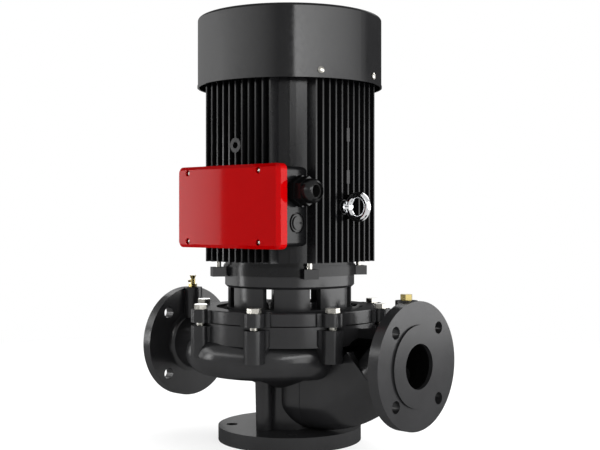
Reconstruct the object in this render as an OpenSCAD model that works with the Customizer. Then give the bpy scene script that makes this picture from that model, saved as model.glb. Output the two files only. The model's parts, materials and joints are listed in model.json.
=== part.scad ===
// Vertical in-line pump with a flange-mounted finned motor, in millimetres.
// The origin is the centre of the foot's underside. +Z runs up the shaft, +X is the suction side
// and the terminal box faces -Y.

/* [Heights] */
// Height of the suction and discharge centre line above the foot
branch_z = 135; // [130:1:150]
// Height of the casing joint above the centre line
joint_h = 53; // [50:1:60]
// Thickness of the cover's bolting rim
cover_t = 19.5; // [16:0.5:24]
// Height of the motor stool above the cover rim
stool_h = 50.5; // [48:0.5:70]
// Depth of the drive-end shield's rim
shield_h = 16; // [14:1:20]
// Length of the motor frame
frame_h = 282; // [270:1:320]

/* [Branch flanges] */
// Distance between the two flange faces
face_to_face = 500; // [490:5:560]
// Outer diameter of a flange
flange_d = 185; // [175:1:200]
// Thickness of a flange with its raised face
flange_t = 20; // [16:1:24]
// Diameter of the raised face
raised_d = 118; // [100:1:122]
// Height of the raised face
raised_h = 3; // [2:0.5:4]
// Bolt circle of a flange
flange_pcd = 145; // [142:1:150]
// Bolt hole in a flange
flange_hole_d = 18; // [14:1:20]
// How much wider the holes are on the discharge side, to line the pump up between two pipes
flange_play = 1; // [0:0.5:2]
// Number of bolt holes in a flange
flange_bolts = 4; // [4, 8]
// Radius of the fillet behind a flange
flange_fillet = 12; // [8:1:16]
// Bore of both branches
bore_d = 65; // [55:1:67]
// Wall of the pipes in the casting
pipe_wall = 11; // [8:1:12]

/* [Foot] */
// Diameter of the foot
foot_d = 224; // [215:1:240]
// Thickness of the foot
foot_t = 22; // [16:1:23]
// Bolt circle of the foot
foot_pcd = 181; // [176:1:190]
// Bolt hole in the foot
foot_hole_d = 18; // [14:1:20]

/* [Casing] */
// Outer diameter of the casing at its joint
casing_d = 284; // [278:1:288]
// Diameter of the cover's spigot
spigot_d = 224; // [216:1:230]
// Radius of the volute's centre line
volute_r = 113; // [110:1:116]
// Outer radius of the volute's tube
volute_tube_r = 30; // [27:1:32]
// Wall of the volute
volute_wall = 8; // [6:1:9]
// How far the volute's circle lies off the shaft
volute_shift = 20; // [14:1:22]
// Height of the straight wall below the joint
wall_h = 31; // [26:1:36]
// Height of the suction pipe's low point above the foot's underside
low_pipe_z = 66; // [64:1:70]
// Thickness of the web between the casing and the suction flange
web_t = 7; // [5:0.5:9]
// Radius of the support ribs beside the elbow
rib_r = 13; // [10:1:15]

/* [Casing bolts] */
// Bolt circle of the cover
cover_pcd = 296; // [294:1:300]
// Number of cover bolts
cover_bolts = 8; // [6, 8, 10]
// Thread of the cover bolts
cover_bolt_d = 12; // [10:1:12]
// Radius of a bolt lug
lug_r = 15; // [13:0.5:16]
// Gap between the lugs at the joint
lug_gap = 5; // [3:0.5:8]

/* [Impeller] */
// Outer diameter of the impeller
impeller_d = 180; // [170:1:184]
// Width of the impeller's outlet
outlet_w = 14; // [10:1:15]
// Diameter of the impeller's eye
eye_d = 68; // [60:1:70]
// Thickness of the impeller's shrouds
shroud_t = 4; // [3:0.5:4.5]
// Number of impeller blades
blades = 6; // [5:1:7]
// Thickness of a blade
blade_t = 4; // [3:0.5:5]

/* [Shaft and seal] */
// Diameter of the motor's shaft end
shaft_end_d = 28; // [24:1:28]
// Length of the motor's shaft end
shaft_end_l = 60; // [55:1:64]
// Diameter of the stub shaft under the seal
seal_shaft_d = 38; // [36:1:40]
// Outer diameter of the stub shaft's coupling sleeve
sleeve_d = 44; // [42:1:50]
// Diameter of the impeller's seat
hub_bore_d = 28; // [24:1:30]
// Width of the shaft keys
key_w = 8; // [6:1:8]
// Outer diameter of the seal's rotating unit
seal_d = 58; // [54:1:60]

/* [Motor frame] */
// Bore of the frame, which holds the stator core
frame_bore_d = 176; // [170:1:180]
// Wall of the frame
frame_wall = 13; // [11:0.5:14]
// Distance from the axis to the middle fin's tip
fin_reach = 119.5; // [116:0.5:122]
// Radius of the arc that the fin tips follow
fin_arc_r = 571; // [400:1:900]
// Distance between fins
fin_pitch = 13.5; // [12.8:0.1:14]
// Thickness of a fin
fin_t = 2.8; // [2:0.1:3.4]
// Fins on each side of a group's middle fin
fin_half = 5; // [5]
// Radius of the smooth corners between the fin groups
corner_r = 120; // [117:0.5:121]
// Width of the rib on each corner
corner_rib_w = 9.5; // [6:0.5:12]
// Length of the stator core
core_l = 140; // [120:1:160]
// Outer diameter of the rotor core
rotor_d = 105; // [90:1:108]

/* [Bearings] */
// Outer diameter of the bearings
bearing_d = 62; // [60:1:64]
// Bore of the bearings
bearing_bore = 30; // [29:1:31]
// Width of the bearings
bearing_w = 16; // [15:1:17]
// Diameter of the balls
ball_d = 9.5; // [8.5:0.1:9.5]
// Number of balls
ball_n = 9; // [7:1:10]

/* [Fan and cowl] */
// Outer diameter of the cowl
cowl_d = 288; // [284:1:300]
// Height of the cowl
cowl_h = 107.5; // [106:0.5:125]
// Sheet thickness of the cowl
cowl_t = 2; // [1.5:0.5:3]
// Radius of the cowl's top edge
cowl_edge_r = 4; // [3:0.5:12]
// How far the cowl reaches down over the frame
cowl_lap = 7.5; // [5:0.5:12]
// Diameter of the fan
fan_d = 220; // [200:1:240]
// Number of fan blades
fan_blades = 8; // [6:1:10]

/* [Terminal box] */
// Width of the terminal box
box_w = 196; // [192:1:200]
// Height of the terminal box
box_h = 116; // [110:1:120]
// Height of the box's middle above the frame's lower end
box_up = 88; // [84:1:110]
// Distance from the axis to the box's open front
box_front = 119.5; // [118:0.5:126]
// Wall of the terminal box
box_wall = 4; // [3:0.5:5]
// How far the red cover overlaps the box at each side
lid_side = 10; // [6:0.5:12]
// How far the red cover overlaps the box at the top and the bottom
lid_over = 3.5; // [2:0.5:6]
// Depth of the red cover
lid_t = 18; // [15:1:24]
// Bevel round the cover's front
lid_bevel = 5; // [3:0.5:6]
// Corner radius of the cover
lid_corner = 9; // [7:0.5:12]
// Thickness of the gasket under the cover
gasket_t = 1.5; // [1:0.5:3]
// Thread of the cable gland
gland_d = 30; // [25:1:30]
// Width across flats of the gland's hexagons
gland_af = 40; // [36:1:40]
// Hole through the gland for the cable
gland_hole_d = 21; // [16:1:22]

/* [Fittings] */
// Diameter of the gauge bosses beside the flanges
gauge_boss_d = 32; // [26:1:34]
// Thread of the gauge fittings
gauge_thread_d = 13; // [10:0.5:14]
// Width across flats of the gauge plug
plug_af = 16; // [14:0.5:19]
// Inner diameter of the lifting eye
eye_hole_d = 25; // [22:1:28]
// Thickness of the lifting eye's ring
eye_bar_d = 10; // [8:0.5:11]

/* [Hidden] */
$fn = 64;
lap = 1;                       // how far joined shapes run into each other
fit = 0.05;                    // radial clearance of a seat or a thread
run = 0.3;                     // clearance between surfaces that move past each other
base_color = [0.16, 0.16, 0.17];
frame_color = [0.14, 0.14, 0.15];
steel_color = [0.78, 0.79, 0.80];
brass_color = [0.72, 0.58, 0.30];
black_color = [0.06, 0.06, 0.06];

// Levels up the axis
joint_z = branch_z + joint_h;
rim_z = joint_z + cover_t;
stool_z = rim_z + stool_h;
frame_z = stool_z + shield_h;
fin_z = frame_z + 5;
frame_top = frame_z + frame_h;
cowl_z = frame_top - cowl_lap;
cowl_top = cowl_z + cowl_h;
box_z = frame_z + box_up;

// Casing
bore_r = bore_d / 2;
neck_r = bore_r + pipe_wall;
casing_r = casing_d / 2;
spigot_r = spigot_d / 2;
flange_x = face_to_face / 2;
wall_z = joint_z - wall_h;
volute_at = [volute_shift * cos(210), volute_shift * sin(210), branch_z];
elbow_drop = branch_z - low_pipe_z;
elbow_start = 60;                             // where the bottom pipe starts to rise
elbow_end = flange_x - 25;                    // where the suction pipe is level again
elbow_angle = 2 * atan(elbow_drop / (elbow_end - elbow_start));
elbow_top_r = neck_r + 12;                    // centre-line radius of the upper bend
elbow_low_r = elbow_drop / (1 - cos(elbow_angle)) - elbow_top_r;
core_step = 0.5;                              // step between two lengths of a cored pipe
elbow_web = 46;                               // height of the elbow's flat flanks
hub_r = 50;                                   // upright pipe under the eye
rib_at = hub_r + 8;
gauge_x = flange_x - 23;
gauge_top = branch_z + flange_d / 2;
lug_at = cover_pcd / 2;
lug_wing = 21;                                // half width of a lug where it meets the wall
lug_nose = 12;                                // the same at the casing lug's foot
lug_face = lug_at - 3;
web_low = 181;                                // top edge of the web at the casing and at the flange
web_high = 190;

// Impeller and the parts round it
eye_r = eye_d / 2;
impeller_r = impeller_d / 2;
outlet_low = branch_z - outlet_w / 2 - 2;
outlet_high = outlet_low + outlet_w;
back_z = outlet_high + shroud_t;
cover_z = back_z + 3.5;
eye_top = outlet_low - 16;
neck_low = eye_top - 14;
ring_or = eye_r + shroud_t + 6;
impeller_hub_r = hub_bore_d / 2 + 9;
hub_top = cover_z + 4;
hub_low = outlet_low - 4;
nut_h = 14;
stud_r = hub_bore_d / 2 - 4;

// Shaft and seal
sleeve_r = sleeve_d / 2;
seal_shaft_r = seal_shaft_d / 2;
seal_r = seal_d / 2;
chamber_r = seal_r + 3;
seat_low = rim_z - 17;
seat_high = seat_low + 12;
housing_r = chamber_r + 13;
housing_top = rim_z + 7.5;
throat_r = seal_shaft_r + 1.5;
sleeve_low = housing_top + 2;
sleeve_top = stool_z - 6;
shaft_low = stool_z - shaft_end_l;
shaft_end_r = shaft_end_d / 2;
carbon_h = 8;
rotary_h = 22;
spring_h = seat_low - run - carbon_h - rotary_h - hub_top;

// Motor stool
stool_ri = 84.7;                              // inside of the pillars
stool_ro = 96.7;                              // outside of the pillars
sill = 1.2;                                   // how far the sill and the ring stand proud of them
stool_rim_r = 101.5;
dish_z = rim_z - 15.5;
dish_r = spigot_r + 3;
stool_ring_z = stool_z - 19;
window_z = rim_z + 0.5;
lip_r = 70;
lip_z = stool_z - 8;
screw_at = 77;

// Motor
frame_bore_r = frame_bore_d / 2;
frame_r = frame_bore_r + frame_wall;
shield_r = frame_r + 3;
fin_side = fin_pitch * fin_half;
bearing_r = bearing_d / 2;
low_bearing_z = stool_z + 6;
top_bearing_z = frame_top + 2;
inner_race_r = bearing_bore / 2 + 4.5;
outer_race_r = bearing_r - 4.5;
ball_at = (inner_race_r + outer_race_r) / 2;
core_z = frame_z + (frame_h - core_l) / 2;
tie_at = [frame_r - 5, -(fin_side - fin_pitch / 2)];
tie_out = norm(tie_at);
tie_turn = atan2(tie_at[1], tie_at[0]);
tie_r = 4;
ear_low = stool_z - 2.5;
ear_high = stool_z + 12;
top_shield_h = 10;
fan_seat_r = 12;
fan_z = top_bearing_z + bearing_w + 12;
fan_h = 30;
cowl_r = cowl_d / 2;
cowl_screw_z = cowl_z + 11;
cowl_screw_az = [-29, 14, 151, 194];

// Terminal box
pad_y = 104;                                  // flat on the frame that carries the box
gasket_front = box_front + gasket_t;
lid_front = gasket_front + lid_t;
lid_w = box_w + 2 * lid_side;
lid_h = box_h + 2 * lid_over;
lid_shift = -1;
lid_screw_x = [14 - box_w / 2, box_w / 2 - 32];
lid_screw_dz = box_h / 2 - 6;
box_screw_x = box_w / 2 - 53;
box_screw_dz = box_h / 2 - 18;
box_back_y = sqrt(pow(corner_r + run, 2) - pow(box_w / 2, 2)); // where the side walls end
fin_flank = fin_side + fin_t / 2;             // outside of a fin group
gland_y = -max(frame_r - 10, box_back_y + gland_d / 2 + 2.5);
gland_z = box_z + 22;
blank_z = box_z - 24;
board_y = pad_y + box_wall;
lead_hole_r = 12;
eye_z = box_z;
eye_seat = frame_r + 11;
eye_ring_r = (eye_hole_d + eye_bar_d) / 2;
eye_collar = 6;
eye_x = eye_seat + eye_collar + eye_ring_r + 3;

// Copies the children n times round the axis, at radius r
module around(n, r = 0, start = 0) {
  for (i = [0 : n - 1]) rotate([0, 0, start + i * 360 / n]) translate([r, 0, 0]) children();
}

// Turns something built up Z so that it points along X, or along -Y
module along_x() { rotate([0, 90, 0]) children(); }
module along_front() { rotate([90, 0, 0]) children(); }

// A ring standing on z = 0
module ring(ro, ri, h) {
  difference() {
    cylinder(r = ro, h = h);
    translate([0, 0, -lap]) cylinder(r = ri, h = h + 2 * lap);
  }
}

// A hexagon given by its width across flats
module hexagon(af, h) { cylinder(r = af / 2 / cos(30), h = h, $fn = 6); }

// A pipe bend in the XZ plane, from angle a0 to a1 round a centre, with any section
module bend(centre, r, a0, a1) {
  translate([centre[0], 0, centre[1]]) rotate([90, 0, 0]) rotate([0, 0, a0])
    rotate_extrude(angle = a1 - a0) translate([r, 0]) children();
}

// Section of the lower suction pipe: round below, with flat flanks above if there are any
module low_section(r, flank) {
  circle(r = r);
  if (flank > 0) translate([-flank, -r]) square([flank, 2 * r]);
}

// The suction pipe: a level start under the eye, two bends and a level end, for a pipe of radius
// r. Each length is a step narrower or wider than the next, as cored pipes are where cores meet.
// The outside has flat flanks that rise into the volute.
module suction_path(r, end, flank = 0) {
  translate([0, 0, low_pipe_z]) along_x() linear_extrude(elbow_start)
    low_section(r + core_step, flank);
  bend([elbow_start, low_pipe_z + elbow_low_r], elbow_low_r, -90, elbow_angle - 90)
    low_section(r, flank);
  bend([elbow_end, branch_z - elbow_top_r], elbow_top_r, 90, 90 + elbow_angle)
    circle(r = r - core_step);
  translate([elbow_end, 0, branch_z]) along_x() cylinder(r = r, h = end);
}

// A branch flange on +X, with its neck fillet; its holes are cut afterwards
module branch_flange() {
  translate([flange_x - flange_t, 0, branch_z]) along_x() {
    cylinder(d = flange_d, h = flange_t - raised_h);
    cylinder(d = raised_d, h = flange_t);
    rotate_extrude() difference() {
      translate([neck_r - 4, -flange_fillet]) square([flange_fillet + 1.6, flange_fillet + 0.5]);
      translate([neck_r + flange_fillet - 1.4, 0.3 - flange_fillet]) circle(r = flange_fillet);
    }
  }
  translate([gauge_x, 0, branch_z]) cylinder(d = gauge_boss_d, h = flange_d / 2);
}

module branch_holes(hole_d) {
  translate([flange_x - flange_t - lap, 0, branch_z]) along_x()
    around(flange_bolts, flange_pcd / 2, 180 / flange_bolts)
      cylinder(d = hole_d, h = flange_t + 2 * lap);
  translate([gauge_x, 0, branch_z])
    cylinder(d = gauge_thread_d + 2 * fit, h = flange_d / 2 + lap);
}

// One bolt lug: a round nose and two wings, from z0 up to z1. The casing's lugs reach below its
// wall, where the wings sweep in towards the nose along two hollow arcs.
module lug(z0, z1, wing) {
  drop = wall_z + 3 - z0;
  inset = wing - lug_nose;
  sweep = (drop * drop + inset * inset) / (2 * inset);
  translate([lug_at, 0, z0]) cylinder(r = lug_r, h = z1 - z0);
  translate([spigot_r + 2, 0, 0]) rotate([90, 0, 90]) linear_extrude(lug_face - spigot_r - 2)
    difference() {
      translate([-wing, z0]) square([2 * wing, z1 - z0]);
      if (drop > 0) for (side = [-1, 1]) translate([side * (lug_nose + sweep), z0])
        circle(r = sweep);
    }
}

module volute_tube(r) {
  translate(volute_at) rotate_extrude() translate([volute_r, 0]) circle(r = r);
}

module volute_casing() {
  color(base_color) difference() {
    union() {
      cylinder(d = foot_d, h = foot_t);
      translate([0, 0, foot_t - lap]) cylinder(r = hub_r, h = neck_low - foot_t);
      translate([0, 0, neck_low - 10])
        cylinder(r1 = hub_r, r2 = spigot_r + 6, h = outlet_low - 6 - neck_low + 10);
      translate([0, 0, outlet_low - 8]) cylinder(r = spigot_r + 8, h = wall_z - outlet_low + 9);
      volute_tube(volute_tube_r);
      translate([0, 0, wall_z]) cylinder(r = casing_r, h = wall_h);
      for (side = [-1, 1]) translate([0, side * rib_at, foot_t - lap])
        cylinder(r1 = rib_r - 1, r2 = rib_r + 1, h = outlet_low - foot_t - 8);
      suction_path(neck_r, flange_x - elbow_end - flange_t + lap, elbow_web);
      translate([-flange_x + flange_t - lap, 0, branch_z]) along_x()
        cylinder(r = neck_r, h = flange_x - flange_t - spigot_r);
      branch_flange();
      mirror([1, 0, 0]) branch_flange();
      around(cover_bolts, 0, 180 / cover_bolts) lug(branch_z, joint_z - lug_gap, lug_wing);
      // web between the casing's wall and the gauge boss
      rotate([90, 0, 0]) translate([0, 0, -web_t / 2]) linear_extrude(web_t)
        polygon([[spigot_r + 4, branch_z], [spigot_r + 4, web_low - 1], [casing_r, web_low],
          [gauge_x - gauge_boss_d / 3, web_high], [gauge_x - gauge_boss_d / 3, branch_z]]);
    }
    suction_path(bore_r, flange_x - elbow_end + lap);
    translate([-flange_x - lap, 0, branch_z]) along_x()
      cylinder(r = bore_r, h = flange_x - spigot_r - 6 + lap);
    branch_holes(flange_hole_d);
    mirror([1, 0, 0]) branch_holes(flange_hole_d + flange_play);
    // the room under the eye, the wear ring's seat and the impeller's chamber
    translate([0, 0, low_pipe_z]) sphere(r = eye_r + 1);
    translate([0, 0, low_pipe_z]) cylinder(r = eye_r + 1, h = neck_low - low_pipe_z + lap);
    rotate_extrude() polygon([[0, neck_low], [ring_or + fit, neck_low],
      [ring_or + fit, eye_top - 2], [impeller_r, outlet_low - 7], [spigot_r + fit, outlet_low - 6],
      [spigot_r + fit, joint_z + lap], [0, joint_z + lap]]);
    intersection() {
      volute_tube(volute_tube_r - volute_wall);
      translate([0, 0, outlet_low - 40]) cylinder(r = casing_r + volute_shift, h = cover_z - 6
        - outlet_low + 40);
    }
    around(4, foot_pcd / 2, 45) translate([0, 0, -lap])
      cylinder(d = foot_hole_d, h = foot_t + 2 * lap);
    around(cover_bolts, lug_at, 180 / cover_bolts) translate([0, 0, branch_z + 6])
      cylinder(d = cover_bolt_d + 2 * fit, h = joint_h);
  }
}

module wear_ring() {
  color(brass_color) translate([0, 0, neck_low])
    ring(ring_or, eye_r + shroud_t + run, eye_top - 4 - neck_low);
}

module motor_stool() {
  color(base_color) difference() {
    union() {
      // cover, dished between its rim and the stool, with the seal housing in the middle
      rotate_extrude() polygon([[chamber_r, cover_z], [spigot_r - 2, cover_z],
        [spigot_r, cover_z + 2], [spigot_r, joint_z], [casing_r, joint_z],
        [casing_r, rim_z - 1.5], [casing_r - 1.5, rim_z], [dish_r, rim_z],
        [dish_r - 3, dish_z], [stool_ro + sill, dish_z], [stool_ro + sill, window_z],
        [stool_ri - sill, window_z], [stool_ri - sill, dish_z - 22], [housing_r + 2, dish_z - 22],
        [housing_r, housing_top],
        [throat_r, housing_top], [throat_r, seat_high], [seal_r - 1 + fit, seat_high],
        [seal_r - 1 + fit, seat_low], [chamber_r, seat_low]]);
      // ring that the motor stands on
      rotate_extrude() polygon([[stool_ri - sill, stool_ring_z],
        [stool_rim_r - 3.5, stool_ring_z], [stool_rim_r, stool_ring_z + 3.5],
        [stool_rim_r, stool_z], [lip_r, stool_z], [lip_r, lip_z], [stool_ri - sill, lip_z]]);
      // eight pillars, wide ones on the axes and narrow ones between them
      for (i = [0 : 7]) {
        half = i % 2 == 0 ? 18.6 : 16;
        rotate([0, 0, i * 45 - half]) translate([0, 0, window_z - lap])
          rotate_extrude(angle = 2 * half) translate([stool_ri, 0])
            square([stool_ro - stool_ri, stool_ring_z - window_z + 2 * lap]);
      }
      around(cover_bolts, 0, 180 / cover_bolts) lug(joint_z, rim_z, lug_wing + 2);
    }
    around(cover_bolts, lug_at, 180 / cover_bolts) translate([0, 0, joint_z - lap])
      cylinder(d = cover_bolt_d + 1.5, h = cover_t + 2 * lap);
    translate([0, 0, cover_z + 20]) ring(spigot_r + lap, spigot_r - 3, 4);
    around(4, screw_at, 45) translate([0, 0, lip_z - lap])
      cylinder(r = 4.5, h = stool_z - lip_z + 2 * lap);
  }
}

module casing_o_ring() {
  color(black_color) translate([0, 0, cover_z + 22])
    rotate_extrude() translate([spigot_r - 1.5, 0]) circle(r = 1.45);
}

// A hexagon-headed bolt with its head's underside at z = 0 and a flat washer face
module hex_bolt(d, af, head_h, shank) {
  cylinder(d = af * 0.95, h = 0.8);
  translate([0, 0, 0.8]) intersection() {
    hexagon(af, head_h - 0.8);
    cylinder(r1 = af, r2 = af * 0.5, h = head_h + 2);
  }
  translate([0, 0, -shank]) cylinder(d = d, h = shank + 0.1);
}

module casing_bolts() {
  color(steel_color) around(cover_bolts, lug_at, 180 / cover_bolts)
    translate([0, 0, rim_z]) hex_bolt(cover_bolt_d, cover_bolt_d * 1.55, 7.5, cover_t + 30);
}

// The room between the impeller's shrouds, from its eye to its rim
module impeller_passage() {
  rotate_extrude() polygon([[0, neck_low], [eye_r, neck_low], [eye_r, eye_top],
    [impeller_r, outlet_low], [impeller_r + lap, outlet_low], [impeller_r + lap, outlet_high],
    [0, outlet_high]]);
}

// One backward-curved blade: a thin crescent between two arcs
module blade() {
  blade_arc = impeller_r * 0.62;
  translate([impeller_r * 0.42, blade_arc * 0.82, eye_top - 4]) difference() {
    cylinder(r = blade_arc, h = outlet_high - eye_top + 5);
    translate([0, 0, -lap]) cylinder(r = blade_arc - blade_t, h = outlet_high - eye_top + 9);
    translate([-2 * blade_arc, blade_arc * -0.35, -lap])
      cube([4 * blade_arc, 2 * blade_arc, 60]);
    translate([-2 * blade_arc, -blade_arc, -lap])
      cube([1.62 * blade_arc, 2 * blade_arc, 60]);
  }
}

module impeller() {
  color(base_color) difference() {
    union() {
      difference() {
        rotate_extrude() polygon([[0, neck_low + 2], [eye_r + shroud_t, neck_low + 2],
          [eye_r + shroud_t, eye_top - 3], [impeller_r, outlet_low - shroud_t],
          [impeller_r, back_z], [impeller_hub_r + 6, back_z], [impeller_hub_r, back_z + 6],
          [impeller_hub_r, hub_top], [0, hub_top]]);
        impeller_passage();
      }
      intersection() {
        impeller_passage();
        around(blades) blade();
        translate([0, 0, neck_low]) ring(impeller_r, impeller_hub_r - lap, hub_top - neck_low);
      }
      translate([0, 0, hub_low]) cylinder(r = impeller_hub_r, h = outlet_high - hub_low + lap);
      translate([0, 0, outlet_low])
        cylinder(r1 = impeller_hub_r, r2 = impeller_hub_r + 12, h = outlet_w + 0.1);
    }
    translate([0, 0, hub_low - lap]) cylinder(d = hub_bore_d + 2 * fit, h = 80);
    translate([0, -key_w / 2, hub_low - lap]) cube([hub_bore_d / 2 + 3, key_w, 80]);
  }
}

module impeller_key() {
  color(steel_color) translate([hub_bore_d / 2 - 4, -key_w / 2, hub_low + 3])
    cube([6.8, key_w, hub_top - hub_low - 8]);
}

module impeller_nut() {
  color(steel_color) translate([0, 0, hub_low - nut_h]) difference() {
    union() {
      translate([0, 0, nut_h - 3]) cylinder(r = stud_r + 8, h = 3);
      hexagon(2 * stud_r + 10, nut_h - 2.5);
    }
    translate([0, 0, -lap]) cylinder(r = stud_r + fit, h = nut_h + 2 * lap);
  }
}

module pump_shaft() {
  color(steel_color) difference() {
    union() {
      translate([0, 0, hub_low - nut_h - 2]) cylinder(r = stud_r, h = nut_h + 3);
      translate([0, 0, hub_low]) cylinder(d = hub_bore_d, h = hub_top - hub_low + lap);
      translate([0, 0, hub_top]) cylinder(r = seal_shaft_r, h = sleeve_low - hub_top + lap);
      translate([0, 0, sleeve_low]) cylinder(r = sleeve_r, h = sleeve_top - sleeve_low);
    }
    translate([0, 0, shaft_low - lap]) cylinder(r = shaft_end_r + fit, h = shaft_end_l);
    translate([0, -key_w / 2, sleeve_low + 1])
      cube([shaft_end_r + 3.3, key_w, sleeve_top - sleeve_low]);
    translate([hub_bore_d / 2 - 4, -key_w / 2, hub_low + 3])
      cube([5, key_w, hub_top - hub_low - 8]);
    for (side = [-1, 1]) rotate([0, 0, side * 90]) translate([0, 0, sleeve_top - 12])
      along_x() cylinder(r = 4 + fit, h = sleeve_r + lap);
  }
}

module shaft_key() {
  color(steel_color) translate([shaft_end_r - 4, -key_w / 2, sleeve_low + 1])
    cube([7.2, key_w, sleeve_top - sleeve_low - 2]);
}

module set_screws() {
  color(steel_color) for (side = [-1, 1]) rotate([0, 0, side * 90])
    translate([shaft_end_r + fit, 0, sleeve_top - 12]) along_x() difference() {
      cylinder(r = 4, h = sleeve_r - shaft_end_r - 1);
      translate([0, 0, 3]) hexagon(4, sleeve_r);
    }
}

// Seal spring: closed coils drawn as rings joined by an open cage of bars
module seal_spring() {
  coils = 5;
  spring_r = seal_shaft_r + 4;
  color(steel_color) translate([0, 0, hub_top]) {
    for (i = [0 : coils - 1]) translate([0, 0, 1.2 + i * (spring_h - 2.4) / (coils - 1)])
      rotate_extrude() translate([spring_r, 0]) circle(r = 1.2);
    for (i = [0 : coils - 2]) rotate([0, 0, i * 180])
      translate([spring_r, 0, 1.2 + i * (spring_h - 2.4) / (coils - 1)])
        cylinder(r = 0.9, h = (spring_h - 2.4) / (coils - 1));
  }
}

module seal_rotary() {
  color(black_color) translate([0, 0, hub_top + spring_h]) difference() {
    union() {
      cylinder(r = seal_r, h = rotary_h - 4);
      translate([0, 0, rotary_h - 4]) cylinder(r1 = seal_r, r2 = seal_r - 3, h = 4.1);
      translate([0, 0, rotary_h]) cylinder(r = seal_shaft_r + 5, h = carbon_h);
    }
    translate([0, 0, -lap]) cylinder(r = seal_shaft_r + fit, h = rotary_h + carbon_h + 2 * lap);
  }
}

module seal_seat() {
  color([0.85, 0.83, 0.78]) translate([0, 0, seat_low])
    ring(seal_r - 1, seal_shaft_r + 0.8, seat_high - seat_low);
}

// Bleed valve on the discharge side: hexagon, neck and side spout
module vent_valve() {
  color(brass_color) translate([-gauge_x, 0, gauge_top]) difference() {
    union() {
      translate([0, 0, -12]) cylinder(d = gauge_thread_d, h = 12.1);
      hexagon(13, 6);
      translate([0, 0, 5.9]) cylinder(r = 4.2, h = 8.1);
      translate([0, 0, 10]) rotate([0, 0, 225]) along_x() cylinder(r = 2, h = 8);
    }
    translate([0, 0, -13]) cylinder(r = 1.5, h = 24);
    translate([0, 0, 6]) cylinder(r = 2.5 + fit, h = 9);
    translate([0, 0, 10]) rotate([0, 0, 225]) along_x() cylinder(r = 0.9, h = 9);
  }
}

module vent_screw() {
  color(brass_color) translate([-gauge_x, 0, gauge_top]) {
    translate([0, 0, 6.5]) cylinder(r1 = 0.8, r2 = 2.5, h = 2);
    translate([0, 0, 8.4]) cylinder(r = 2.5, h = 6.1);
    translate([0, 0, 14.3]) difference() {
      cylinder(r1 = 3.6, r2 = 5.8, h = 6.2);
      translate([-lap, -8, 4.6]) cube([2 * lap, 16, 4]);
    }
  }
}

module gauge_plug() {
  color(brass_color) translate([gauge_x, 0, gauge_top]) {
    translate([0, 0, -12]) cylinder(d = gauge_thread_d, h = 12.1);
    cylinder(d = plug_af, h = 1.2);
    translate([0, 0, 1]) hexagon(plug_af, 8);
  }
}

module shield_ear() {
  translate([tie_out, 0, ear_low]) difference() {
    translate([-14, -11, 0]) cube([25, 22, ear_high - ear_low]);
    translate([-tie_out, 0, -lap]) cylinder(r = stool_rim_r + run, h = stool_z - ear_low + lap);
  }
}

module drive_end_shield() {
  color(base_color) difference() {
    union() {
      rotate_extrude() polygon([[shaft_end_r + 1, stool_z], [38, stool_z], [38, stool_z - 3],
        [lip_r - fit, stool_z - 3], [lip_r - fit, stool_z], [shield_r, stool_z],
        [shield_r, frame_z - 2], [shield_r - 1, frame_z - 2], [shield_r - 1, frame_z],
        [frame_bore_r - fit, frame_z], [frame_bore_r - fit, frame_z + 8],
        [frame_bore_r - 8, frame_z + 8], [frame_bore_r - 12, stool_z + 11],
        [bearing_r + 15, stool_z + 11], [bearing_r + 11, low_bearing_z + bearing_w + 4],
        [bearing_r + fit, low_bearing_z + bearing_w + 4], [bearing_r + fit, low_bearing_z],
        [shaft_end_r + 1, low_bearing_z]]);
      around(4, 0, tie_turn) shield_ear();
      around(8, 0, 22.5) translate([bearing_r + 10, -2.5, stool_z + 10])
        cube([frame_bore_r - 22 - bearing_r, 5, 8]);
    }
    around(4, tie_out, tie_turn) translate([0, 0, ear_low + 2]) cylinder(r = tie_r + fit, h = 30);
    around(4, screw_at, 45) translate([0, 0, stool_z - lap]) cylinder(r = 4 + fit, h = 10);
  }
}

module flange_screws() {
  color(steel_color) around(4, screw_at, 45) translate([0, 0, lip_z - 8]) difference() {
    union() {
      cylinder(r = 6.5, h = 8);
      cylinder(r = 4, h = 8 + stool_z - lip_z + 7);
    }
    translate([0, 0, -lap]) hexagon(6, 5);
  }
}

module v_ring() {
  color(black_color) translate([0, 0, sleeve_top]) rotate_extrude()
    polygon([[shaft_end_r + fit, 0.2], [shaft_end_r + 6, 0.2], [shaft_end_r + 6, 2],
      [shaft_end_r + 3, 2.6], [shaft_end_r + 9, 5.6], [shaft_end_r + 8, 5.7],
      [shaft_end_r + fit, 3.6]]);
}

// Deep-groove ball bearing rings, each with its ball track
module bearing_outer(z) {
  color(steel_color) translate([0, 0, z]) difference() {
    ring(bearing_r, outer_race_r, bearing_w);
    translate([0, 0, bearing_w / 2]) rotate_extrude() translate([ball_at, 0])
      circle(r = ball_d / 2 + run);
  }
}

module bearing_inner(z) {
  color(steel_color) translate([0, 0, z]) difference() {
    ring(inner_race_r, bearing_bore / 2 + fit, bearing_w);
    translate([0, 0, bearing_w / 2]) rotate_extrude() translate([ball_at, 0])
      circle(r = ball_d / 2 + run);
  }
}

module ball_cage(z) {
  translate([0, 0, z + bearing_w / 2]) {
    color(steel_color) around(ball_n, ball_at) sphere(d = ball_d, $fn = 32);
    color(brass_color) difference() {
      translate([0, 0, -ball_d * 0.63]) ring(ball_at + 1.6, ball_at - 1.6, ball_d * 1.26);
      around(ball_n, ball_at - 4) along_x() cylinder(r = ball_d / 2 + run / 2, h = 8);
    }
  }
}

// Plan of one side's fins, tips on a gentle arc
module fin_plan() {
  intersection() {
    for (i = [-fin_half : fin_half])
      translate([sqrt(pow(frame_r, 2) - pow(i * fin_pitch, 2)) - 3, i * fin_pitch - fin_t / 2])
        square([fin_reach, fin_t]);
    translate([fin_reach - fin_arc_r, 0]) circle(r = fin_arc_r, $fn = 360);
  }
}

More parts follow.
